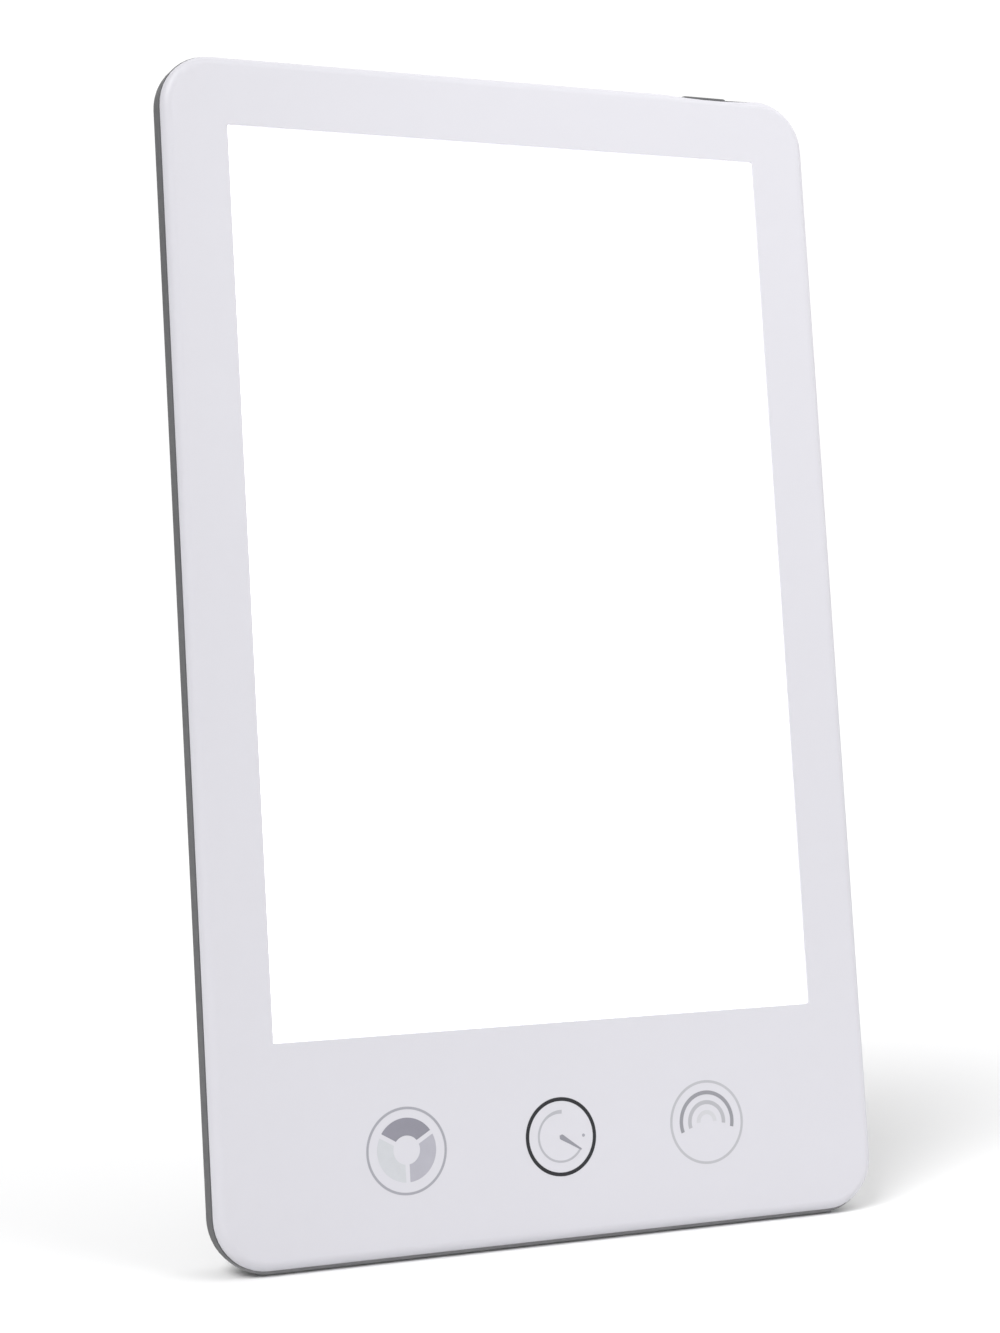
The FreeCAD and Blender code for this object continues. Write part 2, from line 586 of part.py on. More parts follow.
# ----------------------------------------------------------------- the leg
ly0 = HINGE_Y + BARREL_R - LEG_T
ly1 = HINGE_Y + BARREL_R
TIP_FROM = 66.0
blade = leg_outline(LEG_ROOT_HALF, LEG_TIP_HALF, HINGE_Z, HINGE_Z + LEG_LEN, LEG_TIP_R, ly0, ly1)
for side in (-1, 1):
    a, b = sorted((side * 18.3, side * 30.0))
    blade = blade.cut(box(a, b, 0, 20, HINGE_Z - 10, HINGE_Z + 4.2))
soft = edges_where(blade, lambda q: q.ZMax > HINGE_Z + 5.0 and q.YLength < 1e-6)
blade = blade.makeFillet(0.5, soft)
whole = fuse(blade, cyl_x(BARREL_R, -BARREL_HALF, BARREL_HALF, HINGE_Y, HINGE_Z))
for side in (-1, 1):
    a, b = sorted((side * BARREL_HALF, side * 19.5))
    whole = whole.cut(box(a, b, 0, 20, HINGE_Z - 10, HINGE_Z + 4.2))
whole = whole.cut(cyl_x(PIN_R + PIN_CLEARANCE, -30, 30, HINGE_Y, HINGE_Z))
tongue = box(-13.5, 13.5, ly0 + 0.7, ly0 + 1.5, HINGE_Z + TIP_FROM - 1, HINGE_Z + 72.0)
leg_main = fuse(whole.cut(box(-40, 40, 0, 20, HINGE_Z + TIP_FROM, HINGE_Z + 100)), tongue)
panel = plate(-14.5, 14.5, HINGE_Z + 10, HINGE_Z + 56, 4.0, ly1 - 0.4, ly1 + 1)
leg_main = leg_main.cut(panel)
back_panel = plate(-15.5, 15.5, HINGE_Z + 10, HINGE_Z + 58, 4.0, ly0 - 1, ly0 + 0.5)
leg_main = leg_main.cut(back_panel)
for i in range(3):
    zz = HINGE_Z + 59.0 + 2.2 * i
    leg_main = leg_main.cut(box(-9.0, 9.0, ly1 - 0.35, ly1 + 1, zz - 0.5, zz + 0.5))
add("stand_leg", one(above_table(stand(open_leg(one(leg_main.removeSplitter()))))), standing=True)

tip_piece = whole.common(box(-40, 40, 0, 20, HINGE_Z + TIP_FROM, HINGE_Z + 100))
tip_piece = tip_piece.cut(tongue)
add("stand_foot_pad", one(above_table(stand(open_leg(tip_piece)))), standing=True)

# ------------------------------------------------------------------- writing
os.makedirs("parts", exist_ok=True)
lo = [1e9] * 3
hi = [-1e9] * 3
for name, shape in parts.items():
    if not shape.isValid():
        raise RuntimeError("invalid shape: " + name)
    shape.exportStep("parts/%s.step" % name)
    b = shape.optimalBoundingBox(False) if hasattr(shape, "optimalBoundingBox") else shape.BoundBox
    for i, (p, q) in enumerate(((b.XMin, b.XMax), (b.YMin, b.YMax), (b.ZMin, b.ZMax))):
        lo[i] = min(lo[i], p)
        hi[i] = max(hi[i], q)
    print("%-24s %2d solids  volume %10.2f mm3" % (name, len(shape.Solids), shape.Volume))
print("nodes", len(parts))
print("box low ", [round(v, 3) for v in lo])
print("box high", [round(v, 3) for v in hi])
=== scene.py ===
import math

import bmesh
import bpy
from mathutils import Matrix, Vector


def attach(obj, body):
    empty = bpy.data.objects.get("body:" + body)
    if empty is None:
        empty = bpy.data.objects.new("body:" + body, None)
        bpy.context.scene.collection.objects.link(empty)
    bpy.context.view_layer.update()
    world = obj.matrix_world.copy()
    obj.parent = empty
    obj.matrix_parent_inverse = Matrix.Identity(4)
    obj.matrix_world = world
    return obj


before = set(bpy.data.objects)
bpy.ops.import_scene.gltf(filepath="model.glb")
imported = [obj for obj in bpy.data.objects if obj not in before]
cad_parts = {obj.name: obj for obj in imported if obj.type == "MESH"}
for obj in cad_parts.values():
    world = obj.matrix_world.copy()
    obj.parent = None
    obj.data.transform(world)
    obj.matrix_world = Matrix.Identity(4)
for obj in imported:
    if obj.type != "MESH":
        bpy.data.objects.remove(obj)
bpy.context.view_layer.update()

# ---------------------------------------------------------------------------
# The lamp's own axes, in millimetres: X to the right, Y from the seam between
# the shells into the lamp, Z up the face. The lamp leans back on its leg.
LEAN = math.radians(7.817)
ORIGIN_Y = 40.553
FLOOR_GAP = 1.07
LAMP = (
    Matrix.Translation(Vector((0.0, -ORIGIN_Y, FLOOR_GAP)) * 0.001)
    @ Matrix.Rotation(-LEAN, 4, "X")
    @ Matrix.Diagonal((0.001, 0.001, 0.001, 1.0))
)
TO_LAMP = LAMP.inverted()
scene = bpy.context.scene


# ------------------------------------------------------------------ materials
class Nodes:
    """A small helper around one material's node tree."""

    def __init__(self, name):
        self.mat = bpy.data.materials.new(name)
        self.mat.use_nodes = True
        self.nt = self.mat.node_tree
        self.nt.nodes.clear()
        self.out = self.nt.nodes.new("ShaderNodeOutputMaterial")
        self.bsdf = self.nt.nodes.new("ShaderNodeBsdfPrincipled")
        self.nt.links.new(self.bsdf.outputs[0], self.out.inputs["Surface"])
        self._coord = None
        self._lamp = None

    def node(self, kind, **values):
        n = self.nt.nodes.new(kind)
        for k, v in values.items():
            setattr(n, k, v)
        return n

    def link(self, a, b):
        self.nt.links.new(a, b)

    def set(self, **values):
        """Sets sockets of the shader: spaces in their names are written as _."""
        for k, v in values.items():
            self.bsdf.inputs[k.replace("_", " ")].default_value = v

    def coord(self):
        """The piece's own coordinates, in metres."""
        if self._coord is None:
            self._coord = self.node("ShaderNodeTexCoord").outputs["Object"]
        return self._coord

    def lamp(self, scale=(1.0, 1.0, 1.0)):
        """The lamp's own axes in millimetres, scaled."""
        if self._lamp is None:
            m = self.node("ShaderNodeMapping", vector_type="POINT")
            # rotates back by the lean, then moves to the face's lower edge
            loc = TO_LAMP.translation
            m.inputs["Location"].default_value = loc
            m.inputs["Rotation"].default_value = (LEAN, 0.0, 0.0)
            m.inputs["Scale"].default_value = (1000.0, 1000.0, 1000.0)
            self.link(self.coord(), m.inputs["Vector"])
            self._lamp = m.outputs[0]
        if scale == (1.0, 1.0, 1.0):
            return self._lamp
        m = self.node("ShaderNodeMapping", vector_type="POINT")
        m.inputs["Scale"].default_value = scale
        self.link(self._lamp, m.inputs["Vector"])
        return m.outputs[0]

    def noise(self, vector, scale, detail=2.0, rough=0.5, distortion=0.0):
        n = self.node("ShaderNodeTexNoise")
        n.inputs["Scale"].default_value = scale
        n.inputs["Detail"].default_value = detail
        n.inputs["Roughness"].default_value = rough
        n.inputs["Distortion"].default_value = distortion
        self.link(vector, n.inputs["Vector"])
        return n.outputs["Fac"]

    def voronoi(self, vector, scale, feature="F1", randomness=1.0):
        n = self.node("ShaderNodeTexVoronoi", feature=feature)
        n.inputs["Scale"].default_value = scale
        n.inputs["Randomness"].default_value = randomness
        self.link(vector, n.inputs["Vector"])
        return n.outputs["Distance"]

    def math(self, op, a, b=None, c=None, clamp=False):
        n = self.node("ShaderNodeMath", operation=op, use_clamp=clamp)
        for i, v in enumerate((a, b, c)):
            if v is None:
                continue
            if isinstance(v, (int, float)):
                n.inputs[i].default_value = v
            else:
                self.link(v, n.inputs[i])
        return n.outputs[0]

    def remap(self, value, a, b, c, d, smooth=False):
        n = self.node("ShaderNodeMapRange")
        n.interpolation_type = "SMOOTHSTEP" if smooth else "LINEAR"
        n.clamp = True
        for k, v in zip(("From Min", "From Max", "To Min", "To Max"), (a, b, c, d)):
            n.inputs[k].default_value = v
        self.link(value, n.inputs["Value"])
        return n.outputs["Result"]

    def mix(self, factor, a, b):
        """A colour between a and b; either may be a socket."""
        n = self.node("ShaderNodeMix", data_type="RGBA", clamp_factor=True)
        for i, v in ((6, a), (7, b)):
            if isinstance(v, (tuple, list)):
                n.inputs[i].default_value = (*v[:3], 1.0)
            else:
                self.link(v, n.inputs[i])
        if isinstance(factor, (int, float)):
            n.inputs[0].default_value = factor
        else:
            self.link(factor, n.inputs[0])
        return n.outputs[2]

    def split(self, vector):
        n = self.node("ShaderNodeSeparateXYZ")
        self.link(vector, n.inputs[0])
        return n.outputs

    def colour(self, socket):
        self.link(socket, self.bsdf.inputs["Base Color"])

    def roughness(self, socket):
        self.link(socket, self.bsdf.inputs["Roughness"])

    def bump(self, height, distance, strength=1.0, below=None):
        n = self.node("ShaderNodeBump")
        n.inputs["Strength"].default_value = strength
        n.inputs["Distance"].default_value = distance
        self.link(height, n.inputs["Height"])
        if below is not None:
            self.link(below, n.inputs["Normal"])
        return n.outputs[0]

    def normal(self, socket):
        self.link(socket, self.bsdf.inputs["Normal"])


def srgb(r, g, b):
    """Linear colour of an 8-bit sRGB one."""
    def f(v):
        v /= 255.0
        return v / 12.92 if v <= 0.04045 else ((v + 0.055) / 1.055) ** 2.4
    return (f(r), f(g), f(b))


def shade(colour, k):
    return tuple(max(0.0, min(1.0, c * k)) for c in colour)


def moulded(name, colour, rough=0.5, grain=0.35, depth=0.008, vary=0.03, rough_vary=0.06,
            cloud=40.0, ior=1.5, coat=0.0, coat_rough=0.3, pits=0.0, painted_edge_light=None):
    """Moulded plastic: a fine spark-eroded grain, faint clouding, uneven gloss.
    The paler colour given for the lower front edge is painted light: it brightens that edge, which lies in shade under
    the cover."""
    m = Nodes(name)
    m.set(IOR=ior, Coat_Weight=coat, Coat_Roughness=coat_rough)
    c = m.coord()
    big = m.noise(c, cloud, 3.0, 0.55)
    fine = m.noise(c, 1000.0 / grain, 3.0, 0.6)
    coarse = m.noise(c, 1000.0 / (grain * 3.4), 2.0, 0.5)
    t = m.math("ADD", m.math("MULTIPLY", big, 0.65), m.math("MULTIPLY", fine, 0.35))
    base = m.mix(m.remap(t, 0.3, 0.7, 0.0, 1.0), shade(colour, 1.0 - vary), shade(colour, 1.0 + vary))
    # Painted light: the lower front edge is made paler, with a little noise, in place of light that does not reach it
    # in the shade under the cover.
    if painted_edge_light is not None:
        x, y, z = m.split(m.lamp())
        low = m.math("MULTIPLY", m.remap(z, 0.0, 4.2, 1.0, 0.0, True), m.remap(y, 2.6, 3.6, 1.0, 0.0, True))
        painted_light_mask = m.math("MULTIPLY", low, m.remap(m.noise(m.lamp((0.25, 1.0, 1.0)), 0.9, 3.0, 0.6), 0.3, 0.7, 0.82, 1.0))
        base = m.mix(painted_light_mask, base, painted_edge_light)
    m.colour(base)
    m.roughness(m.remap(m.noise(c, 1000.0 / (grain * 7.0), 3.0, 0.6), 0.3, 0.7, rough - rough_vary, rough + rough_vary))
    h = m.math("ADD", m.math("MULTIPLY", fine, 0.6), m.math("MULTIPLY", coarse, 0.4))
    if pits > 0.0:
        v = m.voronoi(c, 1000.0 / (grain * 1.5))
        h = m.math("ADD", h, m.math("MULTIPLY", m.remap(v, 0.0, 0.5, 0.0, 1.0, True), pits))
    m.normal(m.bump(h, depth * 0.001))
    return m.mat


def metal(name, colour, rough=0.3, brush=(1.0, 60.0, 60.0), depth=0.004, vary=0.06, stain=None):
    """Drawn or rolled metal with fine lines along one axis of the lamp."""
    m = Nodes(name)
    m.set(Metallic=1.0)
    lines = m.noise(m.lamp(brush), 0.35, 4.0, 0.6)
    blot = m.noise(m.coord(), 160.0, 3.0, 0.6)
    base = m.mix(m.remap(lines, 0.3, 0.7, 0.0, 1.0), shade(colour, 1.0 - vary), shade(colour, 1.0 + vary))
    if stain is not None:
        base = m.mix(m.remap(blot, 0.48, 0.72, 0.0, 0.55, True), base, stain)
    m.colour(base)
    m.roughness(m.remap(m.math("ADD", m.math("MULTIPLY", lines, 0.5), m.math("MULTIPLY", blot, 0.5)), 0.3, 0.7, rough * 0.8, rough * 1.3))
    m.normal(m.bump(lines, depth * 0.001))
    return m.mat


def rubber(name, colour, rough=0.75):
    m = Nodes(name)
    m.set(IOR=1.45)
    c = m.coord()
    fine = m.noise(c, 5200.0, 4.0, 0.65)
    big = m.noise(c, 260.0, 3.0, 0.6)
    m.colour(m.mix(m.remap(big, 0.3, 0.7, 0.0, 1.0), shade(colour, 0.85), shade(colour, 1.2)))
    m.roughness(m.remap(fine, 0.3, 0.7, rough - 0.08, rough + 0.08))
    m.normal(m.bump(m.math("ADD", fine, m.math("MULTIPLY", big, 0.5)), 0.00003))
    return m.mat


def board(name, mask, trace, pad=(0.75, 0.56, 0.27)):
    """A printed circuit board: orthogonal tracks under the mask and gilded pads."""
    m = Nodes(name)
    m.set(IOR=1.55, Coat_Weight=0.35, Coat_Roughness=0.18)
    v = m.lamp()
    flat = m.node("ShaderNodeMapping", vector_type="POINT")
    flat.inputs["Rotation"].default_value = (math.radians(-90), 0.0, 0.0)
    m.link(v, flat.inputs["Vector"])
    tracks = []
    for scale, turn, width in ((0.55, 0.0, 0.05), (0.36, 90.0, 0.04)):
        r = m.node("ShaderNodeMapping", vector_type="POINT")
        r.inputs["Rotation"].default_value = (0.0, 0.0, math.radians(turn))
        m.link(flat.outputs[0], r.inputs["Vector"])
        b = m.node("ShaderNodeTexBrick", offset=0.37, offset_frequency=3, squash=1.6, squash_frequency=2)
        b.inputs["Color1"].default_value = (0, 0, 0, 1)
        b.inputs["Color2"].default_value = (0, 0, 0, 1)
        b.inputs["Mortar"].default_value = (1, 1, 1, 1)
        b.inputs["Scale"].default_value = scale
        b.inputs["Mortar Size"].default_value = width
        b.inputs["Mortar Smooth"].default_value = 0.1
        b.inputs["Brick Width"].default_value = 2.7
        b.inputs["Row Height"].default_value = 0.75
        m.link(r.outputs[0], b.inputs["Vector"])
        tracks.append(b.outputs["Fac"])
    t = m.math("MAXIMUM", tracks[0], tracks[1])
    island = m.remap(m.noise(flat.outputs[0], 0.16, 2.0, 0.5), 0.5, 0.56, 0.0, 1.0, True)
    t = m.math("MULTIPLY", t, island)
    dots = m.voronoi(flat.outputs[0], 0.42, randomness=0.8)
    via = m.remap(dots, 0.13, 0.17, 1.0, 0.0)
    weave = m.noise(m.lamp((1.0, 1.0, 1.0)), 2.2, 2.0, 0.5)
    body = m.mix(m.remap(weave, 0.3, 0.7, 0.0, 1.0), shade(mask, 0.9), shade(mask, 1.1))
    body = m.mix(t, body, trace)
    m.colour(m.mix(via, body, pad))
    m.link(m.math("MULTIPLY", via, 0.9), m.bsdf.inputs["Metallic"])
    m.roughness(m.remap(via, 0.0, 1.0, 0.36, 0.28))
    m.normal(m.bump(m.math("ADD", t, via), 0.00003))
    return m.mat


MAT = {}

# The white front cover: a faintly lavender, finely textured satin plastic.
MAT["white_cover"] = moulded("white_cover", (0.579, 0.573, 0.611), rough=0.46, grain=0.16, depth=0.0022,
                             vary=0.008, rough_vary=0.035, cloud=16.0, ior=1.46)
# The dark grey rear housing and leg: a coarser, duller grain. The housing's lower front edge is painted paler, as
# painted light on that shaded edge.
MAT["dark_housing"] = moulded("dark_housing", (0.086, 0.087, 0.091), rough=0.56, grain=0.32, depth=0.016,
                              vary=0.09, rough_vary=0.06, cloud=30.0, pits=0.35, painted_edge_light=(0.245, 0.245, 0.252))
MAT["dark_leg"] = moulded("dark_leg", (0.098, 0.099, 0.103), rough=0.55, grain=0.3, depth=0.014,
                          vary=0.08, rough_vary=0.06, cloud=45.0, pits=0.3)
MAT["button_plastic"] = moulded("button_plastic", (0.1, 0.1, 0.105), rough=0.42, grain=0.2, depth=0.006,
                                vary=0.08, rough_vary=0.05, cloud=90.0)
MAT["pad_rubber"] = rubber("pad_rubber", (0.3, 0.3, 0.306))
MAT["tip_rubber"] = rubber("tip_rubber", (0.034, 0.034, 0.037), 0.7)


def window_opal():
    """Lit opal acrylic: brighter beside the two LED rows, with a faint grain."""
    m = Nodes("window_opal")
    m.set(IOR=1.49, Coat_Weight=0.2, Coat_Roughness=0.3)
    x, y, z = m.split(m.lamp())
    side = m.remap(m.math("ABSOLUTE", x), 20.0, 62.0, 0.0, 1.0, True)
    cloud = m.noise(m.coord(), 18.0, 2.0, 0.5)
    fine = m.noise(m.coord(), 4200.0, 3.0, 0.6)
    m.colour(m.mix(m.remap(cloud, 0.3, 0.7, 0.0, 1.0), (0.87, 0.87, 0.88), (0.91, 0.91, 0.915)))
    glow = m.math("ADD", m.math("MULTIPLY", side, 0.75), m.math("MULTIPLY", cloud, 0.25))
    m.link(m.mix(glow, (0.94, 0.955, 0.98), (1.0, 1.0, 1.0)), m.bsdf.inputs["Emission Color"])
    m.set(Emission_Strength=1.1)
    m.roughness(m.remap(fine, 0.3, 0.7, 0.34, 0.46))
    m.normal(m.bump(fine, 0.000003))
    return m.mat


MAT["window_opal"] = window_opal()


def clear_sheet():
    """Clear acrylic light guide with rows of printed white dots."""
    m = Nodes("clear_sheet")
    m.set(IOR=1.49, Transmission_Weight=0.85)
    v = m.voronoi(m.lamp((1.0, 0.0, 1.0)), 0.62, randomness=0.0)
    dot = m.remap(v, 0.28, 0.36, 1.0, 0.0)
    m.colour(m.mix(dot, (0.93, 0.97, 0.96), (0.97, 0.97, 0.97)))
    m.roughness(m.remap(dot, 0.0, 1.0, 0.04, 0.55))
    m.normal(m.bump(dot, 0.00001))
    return m.mat


MAT["clear_sheet"] = clear_sheet()


def film(name, colour, ridges):
    """White optical film, plain or with fine prism ridges."""
    m = Nodes(name)
    m.set(IOR=1.5)
    c = m.coord()
    cloud = m.noise(c, 35.0, 3.0, 0.5)
    m.colour(m.mix(m.remap(cloud, 0.3, 0.7, 0.0, 1.0), shade(colour, 0.97), shade(colour, 1.02)))
    fine = m.noise(c, 3800.0, 2.0, 0.5)
    m.roughness(m.remap(fine, 0.3, 0.7, 0.4, 0.56))
    if ridges:
        w = m.node("ShaderNodeTexWave", wave_type="BANDS", bands_direction="X", wave_profile="TRI")
        w.inputs["Scale"].default_value = 1.3
        m.link(m.lamp(), w.inputs["Vector"])
        m.normal(m.bump(w.outputs["Fac"], 0.00012))
    else:
        m.normal(m.bump(fine, 0.000006))
    return m.mat


MAT["film_diffuser"] = film("film_diffuser", (0.86, 0.86, 0.87), False)
MAT["film_prism"] = film("film_prism", (0.8, 0.82, 0.84), True)
MAT["film_reflector"] = film("film_reflector", (0.9, 0.9, 0.9), False)
MAT["aluminium_sheet"] = metal("aluminium_sheet", (0.77, 0.78, 0.79), 0.34, (0.08, 4.0, 4.0), vary=0.04)
MAT["zinc_steel"] = metal("zinc_steel", (0.56, 0.56, 0.55), 0.3, (0.4, 3.0, 3.0), vary=0.07, stain=(0.46, 0.47, 0.49))
MAT["hinge_steel"] = metal("hinge_steel", (0.5, 0.5, 0.5), 0.24, (0.3, 5.0, 5.0), vary=0.08)
MAT["washer_steel"] = metal("washer_steel", (0.6, 0.59, 0.56), 0.33, (2.0, 2.0, 2.0), vary=0.08)
MAT["screw_steel"] = metal("screw_steel", (0.2, 0.2, 0.21), 0.34, (2.4, 2.4, 2.4), vary=0.14, stain=(0.13, 0.13, 0.14))
MAT["nickel_pin"] = metal("nickel_pin", (0.68, 0.66, 0.61), 0.2, (3.0, 3.0, 0.4), vary=0.05)
MAT["copper_pad"] = metal("copper_pad", (0.78, 0.5, 0.3), 0.3, (1.4, 1.4, 1.4), vary=0.06, stain=(0.62, 0.4, 0.26))
MAT["frame_white"] = moulded("frame_white", (0.8, 0.8, 0.79), rough=0.5, grain=0.3, depth=0.006, vary=0.015)
MAT["board_green"] = board("board_green", (0.018, 0.11, 0.045), (0.05, 0.22, 0.1))
MAT["board_white"] = board("board_white", (0.74, 0.75, 0.74), (0.6, 0.62, 0.6), pad=(0.8, 0.78, 0.72))
MAT["board_black"] = board("board_black", (0.018, 0.02, 0.022), (0.035, 0.04, 0.045))
MAT["black_component"] = moulded("black_component", (0.022, 0.022, 0.024), rough=0.52, grain=0.12, depth=0.006, vary=0.15, cloud=400.0)
MAT["ferrite"] = moulded("ferrite", (0.05, 0.048, 0.047), rough=0.62, grain=0.2, depth=0.014, vary=0.18, cloud=500.0, pits=0.4)
MAT["jack_black"] = moulded("jack_black", (0.024, 0.024, 0.026), rough=0.4, grain=0.2, depth=0.004, vary=0.1, cloud=200.0)
MAT["cream_connector"] = moulded("cream_connector", (0.76, 0.71, 0.6), rough=0.44, grain=0.3, depth=0.004, vary=0.03, cloud=200.0)


def capacitor():
    """Aluminium can with a dark printed stripe down one side and a scored top."""
    m = Nodes("capacitor_can")
    m.set(Coat_Weight=0.3, Coat_Roughness=0.2)
    x, y, z = m.split(m.lamp())
    top = m.remap(y, 10.35, 10.45, 0.0, 1.0)
    stripe = m.math("MULTIPLY", m.remap(x, -52.6, -52.4, 0.0, 1.0), m.math("SUBTRACT", 1.0, top))
    blot = m.noise(m.coord(), 900.0, 3.0, 0.6)
    sleeve = m.mix(m.remap(blot, 0.3, 0.7, 0.0, 1.0), (0.018, 0.03, 0.075), (0.024, 0.038, 0.09))
    body = m.mix(stripe, sleeve, (0.6, 0.62, 0.66))
    m.colour(m.mix(top, body, (0.72, 0.72, 0.73)))
    m.link(top, m.bsdf.inputs["Metallic"])
    m.roughness(m.remap(blot, 0.3, 0.7, 0.3, 0.42))
    cross = m.math("MINIMUM", m.math("ABSOLUTE", m.math("SUBTRACT", m.math("ABSOLUTE", m.math("ADD", x, 54.2)), 0.0)), 5.0)
    m.normal(m.bump(m.remap(cross, 0.0, 0.25, 0.0, 1.0), 0.00008))
    return m.mat


MAT["capacitor_can"] = capacitor()


def led_yellow():
    """White LED housings with a yellow phosphor window in the middle of each."""
    m = Nodes("led_yellow")
    m.set(IOR=1.5)
    x, y, z = m.split(m.lamp())
    phase = m.math("FRACT", m.math("DIVIDE", m.math("SUBTRACT", z, 47.15 - 2.75), 5.5))
    off = m.math("MULTIPLY", m.math("ABSOLUTE", m.math("SUBTRACT", phase, 0.5)), 5.5)
    inside = m.math("MULTIPLY", m.remap(off, 1.05, 1.15, 1.0, 0.0),
                    m.remap(m.math("ABSOLUTE", m.math("SUBTRACT", y, 4.4)), 0.45, 0.52, 1.0, 0.0))
    grain = m.noise(m.coord(), 2600.0, 3.0, 0.6)
    phosphor = m.mix(m.remap(grain, 0.3, 0.7, 0.0, 1.0), (0.78, 0.6, 0.12), (0.86, 0.72, 0.2))
    m.colour(m.mix(inside, (0.82, 0.82, 0.8), phosphor))
    m.roughness(m.remap(grain, 0.3, 0.7, 0.34, 0.5))
    m.normal(m.bump(m.math("SUBTRACT", 1.0, inside), 0.00006))
    return m.mat


MAT["led_yellow"] = led_yellow()


def wires(name, first, second, axis, edge):
    """Stranded wire in a smooth jacket; the two leads of the pair differ in colour."""
    m = Nodes(name)
    m.set(IOR=1.48)
    parts = m.split(m.lamp())
    pick = m.remap(parts[axis], edge - 0.02, edge + 0.02, 0.0, 1.0)
    blot = m.noise(m.coord(), 700.0, 3.0, 0.5)
    a = m.mix(m.remap(blot, 0.3, 0.7, 0.0, 1.0), shade(first, 0.9), shade(first, 1.1))
    b = m.mix(m.remap(blot, 0.3, 0.7, 0.0, 1.0), shade(second, 0.9), shade(second, 1.1))
    m.colour(m.mix(pick, a, b))
    m.roughness(m.remap(blot, 0.3, 0.7, 0.34, 0.46))
    m.normal(m.bump(m.noise(m.coord(), 3000.0, 2.0, 0.5), 0.000008))
    return m.mat


MAT["wire_dc"] = wires("wire_dc", (0.02, 0.02, 0.02), (0.5, 0.025, 0.02), 2, 22.55)
MAT["wire_led"] = wires("wire_led", (0.75, 0.75, 0.74), (0.45, 0.45, 0.46), 2, 54.5)


def ribbon():
    """Flat flexible cable with fine conductors under a pale film."""
    m = Nodes("ribbon_film")
    m.set(IOR=1.5, Coat_Weight=0.3, Coat_Roughness=0.2)
    x, y, z = m.split(m.lamp())
    phase = m.math("ABSOLUTE", m.math("SUBTRACT", m.math("FRACT", m.math("DIVIDE", m.math("SUBTRACT", x, 41.0), 0.5)), 0.5))
    core = m.remap(phase, 0.24, 0.3, 1.0, 0.0)
    blot = m.noise(m.coord(), 300.0, 3.0, 0.5)
    film_colour = m.mix(m.remap(blot, 0.3, 0.7, 0.0, 1.0), (0.7, 0.71, 0.72), (0.76, 0.77, 0.78))
    m.colour(m.mix(core, film_colour, (0.6, 0.42, 0.26)))
    m.roughness(m.remap(blot, 0.3, 0.7, 0.3, 0.42))
    m.normal(m.bump(core, 0.00003))
    return m.mat


MAT["ribbon_film"] = ribbon()


def foam():
    m = Nodes("foam")
    m.set(IOR=1.4)
    c = m.coord()
    cell = m.voronoi(c, 1900.0)
    big = m.noise(c, 220.0, 3.0, 0.6)
    m.colour(m.mix(m.remap(cell, 0.0, 0.6, 0.0, 1.0, True), (0.022, 0.022, 0.025), (0.065, 0.065, 0.07)))
    m.roughness(m.remap(big, 0.3, 0.7, 0.85, 0.97))
    m.normal(m.bump(m.math("ADD", cell, m.math("MULTIPLY", big, 0.5)), 0.0002))
    return m.mat


MAT["foam"] = foam()

NODE_MATERIAL = {
    "front_cover": "white_cover", "window_lens": "window_opal", "diffuser_sheet": "film_diffuser",
    "prism_sheet": "film_prism", "light_guide_plate": "clear_sheet", "reflector_sheet": "film_reflector",
    "heat_spreader_tray": "aluminium_sheet", "led_boards": "board_white", "led_packages": "led_yellow",
    "light_panel_frame": "frame_white", "led_tail_connectors": "cream_connector",
    "touch_electrodes": "copper_pad", "touch_board": "board_green", "touch_controller_chips": "black_component",
    "driver_board": "board_green", "driver_inductor": "ferrite", "driver_capacitors": "capacitor_can",
    "driver_chips": "black_component", "driver_connectors": "cream_connector", "board_screws": "zinc_steel",
    "dc_jack_board": "board_green", "dc_jack_housing": "jack_black", "dc_jack_centre_pin": "nickel_pin",
    "dc_wires": "wire_dc", "led_wires": "wire_led", "switch_ribbon": "ribbon_film",
    "switch_board": "board_black", "power_switch_body": "black_component",
    "power_switch_plunger": "cream_connector", "power_button": "button_plastic",
    "rear_housing": "dark_housing", "case_screws": "screw_steel", "rear_foam_pads": "foam",
    "foot_strip": "pad_rubber", "hinge_brackets": "zinc_steel", "bracket_screws": "screw_steel",
    "friction_washers": "washer_steel", "hinge_pin": "hinge_steel", "stand_leg": "dark_leg",
    "stand_foot_pad": "tip_rubber",
}
for node_name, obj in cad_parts.items():
    obj.data.materials.clear()
    obj.data.materials.append(MAT[NODE_MATERIAL[node_name]])


# ------------------------------------------------------------ printed symbols
def ink(name, colour, rough=0.5):
    """Screen-printed ink: a thin, slightly uneven film."""
    m = Nodes(name)
    m.set(IOR=1.48)
    c = m.coord()
    speck = m.noise(c, 5200.0, 3.0, 0.6)
    cloud = m.noise(c, 420.0, 2.0, 0.5)
    m.colour(m.mix(m.remap(m.math("ADD", m.math("MULTIPLY", speck, 0.5), m.math("MULTIPLY", cloud, 0.5)), 0.35, 0.65, 0.0, 1.0),
                   shade(colour, 0.97), shade(colour, 1.03)))
    m.roughness(m.remap(speck, 0.3, 0.7, rough - 0.05, rough + 0.05))
    m.normal(m.bump(speck, 0.000002))
    return m.mat


FACE_Y = -2.0               # the front face
INK_TOP = FACE_Y - 0.02     # the print stands this proud of it
INK_SUNK = FACE_Y + 0.01


def finish_piece(name, bm, materials, body="lamp_body", local=True, smooth_deg=30.0):
    me = bpy.data.meshes.new(name)
    bmesh.ops.recalc_face_normals(bm, faces=bm.faces)
    bm.to_mesh(me)
    bm.free()
    if local:
        me.transform(LAMP)
    for mat in materials:
        me.materials.append(mat)
    ob = bpy.data.objects.new(name, me)
    scene.collection.objects.link(ob)
    if smooth_deg > 0.0:
        for p in me.polygons:
            p.use_smooth = True
        me.set_sharp_from_angle(angle=math.radians(smooth_deg))
    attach(ob, body)
    return ob


